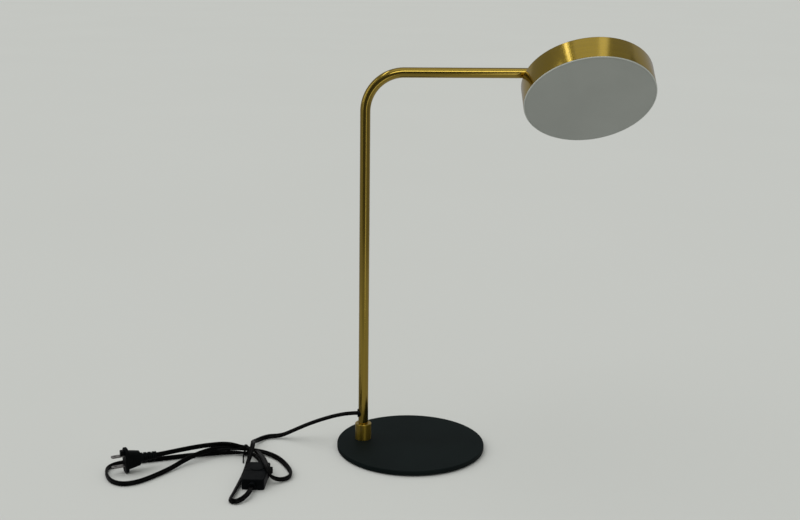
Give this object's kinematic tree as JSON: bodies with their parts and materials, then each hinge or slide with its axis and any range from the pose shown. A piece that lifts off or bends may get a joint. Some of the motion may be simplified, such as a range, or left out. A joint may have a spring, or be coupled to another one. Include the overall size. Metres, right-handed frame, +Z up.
{
  "type": "desk lamp",
  "caption": "Desk lamp: a flat round light head that rolls on a bent brass tube, which turns in a collar on a black disc foot, with a corded in-line rocker switch.",
  "frame": {"origin": "centre of the foot's underside, on the table", "axes": "+Z up; -X towards the stem, +X the way the arm reaches out over the foot"},
  "size_m": [0.6085, 0.318, 0.5034],
  "materials": {
    "foot_black": "matt powder coat",
    "foam_pad": "matt foam",
    "brass": "satin brushed",
    "steel": "zinc plated",
    "nylon": "moulded",
    "black_plastic": "moulded, fine grain",
    "cord_black": "smooth flexible sheath",
    "opal": "opal, satin",
    "aluminium": "plain sheet",
    "board_white": "white solder mask",
    "led_yellow": "phosphor",
    "contact_brass": "plain strip"
  },
  "bodies": {
    "base": {"base_nut": "steel", "base_pad": "foam_pad", "base_plate": "foot_black", "base_stud": "steel", "base_washer": "steel", "collar_bush": "brass", "collar_screw": "steel", "cord_hank": "cord_black", "cord_lead": "cord_black", "cord_loop": "cord_black", "cord_tie": "black_plastic", "plug_blade_1": "steel", "plug_blade_2": "steel", "plug_body": "black_plastic", "rocker_pin": "steel", "stem_collar": "brass", "switch_contact_1": "contact_brass", "switch_contact_2": "contact_brass", "switch_screw_1": "steel", "switch_screw_2": "steel", "switch_shell_bottom": "black_plastic", "switch_shell_top": "black_plastic", "thrust_washer": "nylon"},
    "stem": {"stem_tube": "brass", "stem_insert": "steel", "inner_lead": "cord_black", "cord_grommet": "black_plastic", "arm_stop_ring": "brass", "arm_end_cap": "brass"},
    "head": {"head_saddle": "brass", "head_shell": "brass", "led_board": "board_white", "led_chips": "led_yellow", "led_driver": "black_plastic", "plate_post_1": "aluminium", "plate_post_2": "aluminium", "plate_post_3": "aluminium", "plate_screw_1": "steel", "plate_screw_2": "steel", "plate_screw_3": "steel", "saddle_screw_1": "steel", "saddle_screw_2": "steel", "saddle_sleeve": "nylon", "heat_plate": "aluminium", "diffuser": "opal"},
    "rocker": {"switch_rocker": "black_plastic"}
  },
  "joints": [
    {"name": "stem_swivel", "type": "hinge", "parent": "base", "child": "stem", "pos_m": [-0.0594, 0, 0.02], "axis": [0, 0, 1], "range_deg": [-60, 30], "deforming": ["cord_lead"]},
    {"name": "head_roll", "type": "hinge", "parent": "stem", "child": "head", "pos_m": [0.18981, 0.06678, 0.457], "axis": [0.9659, 0.2588, 0], "range_deg": [-45, 135]},
    {"name": "switch_rock", "type": "hinge", "parent": "base", "child": "rocker", "pos_m": [-0.14848, -0.12322, 0.0065], "axis": [0, 0, 1], "range_deg": [0, 22]}
  ]
}
